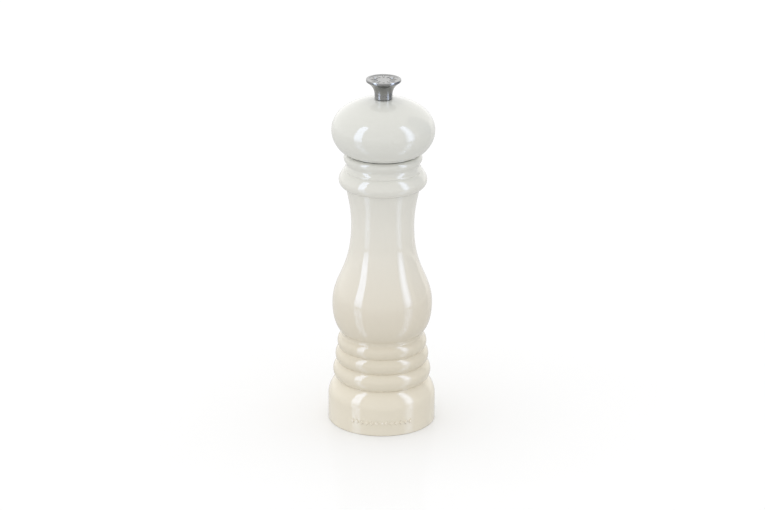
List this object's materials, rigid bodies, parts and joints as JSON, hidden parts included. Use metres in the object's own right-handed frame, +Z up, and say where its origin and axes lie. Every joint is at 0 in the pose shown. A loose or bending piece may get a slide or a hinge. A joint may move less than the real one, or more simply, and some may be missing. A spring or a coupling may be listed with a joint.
{
  "type": "pepper mill",
  "caption": "Turned-profile table pepper mill with a domed twist head, ringed waist, flared steel adjusting nut and a ceramic burr grinder on a square spindle.",
  "frame": {"origin": "centre of the base, on the surface the mill stands on", "axes": "+Z up along the mill's axis; -Y is the front"},
  "size_m": [0.0636, 0.0636, 0.21],
  "materials": {
    "cream_gloss": "high-gloss moulding, near white at the mouth and beige at the base",
    "white_gloss": "high-gloss near-white moulding",
    "pale_plastic": "satin moulding",
    "black_plastic": "fine spark texture",
    "grey_plastic": "satin moulding",
    "burr_ceramic": "unglazed, ground on the teeth",
    "plated_steel": "bright zinc or nickel",
    "spring_steel": "drawn wire",
    "satin_steel": "satin turned stainless steel"
  },
  "bodies": {
    "body": {"body_shell": "cream_gloss", "hopper_tube": "pale_plastic", "grinder_housing": "black_plastic", "bearing_bridge": "black_plastic", "burr_ring": "burr_ceramic", "burr_retainer": "grey_plastic", "retainer_screw_1": "plated_steel", "retainer_screw_2": "plated_steel", "retainer_screw_3": "plated_steel", "housing_screw_1": "plated_steel", "housing_screw_2": "plated_steel", "housing_screw_3": "plated_steel"},
    "drive": {"feeder": "grey_plastic", "spring_washer": "plated_steel", "spring": "spring_steel"},
    "grinder": {"spindle": "plated_steel", "rotor": "burr_ceramic", "rotor_carrier": "black_plastic", "carrier_clip": "spring_steel"},
    "head": {"head_shell": "white_gloss", "head_insert": "pale_plastic", "drive_plate": "plated_steel", "drive_plate_screw_1": "plated_steel", "drive_plate_screw_2": "plated_steel", "drive_plate_screw_3": "plated_steel", "drive_plate_screw_4": "plated_steel", "head_bush": "grey_plastic"},
    "nut": {"adjusting_nut": "satin_steel"}
  },
  "joints": [
    {"name": "grinder_turn", "type": "hinge", "parent": "body", "child": "drive", "pos_m": [0, 0, 0], "axis": [0, 0, 1], "continuous": true},
    {"name": "spindle_draw", "type": "slide", "parent": "drive", "child": "grinder", "axis": [0, 0, 1], "range_m": [-0.00085, 0.00085], "deforming": ["spring"]},
    {"name": "head_lift", "type": "slide", "parent": "drive", "child": "head", "axis": [0, 0, 1], "range_m": [0, 0.062]},
    {"name": "nut_turn", "type": "hinge", "parent": "head", "child": "nut", "pos_m": [0, 0, 0], "axis": [0, 0, 1], "range_deg": [-360, 360]}
  ],
  "couplings": [
    {"joint": "spindle_draw", "follows": "nut_turn", "m_per_rad": -0.00012732}
  ]
}
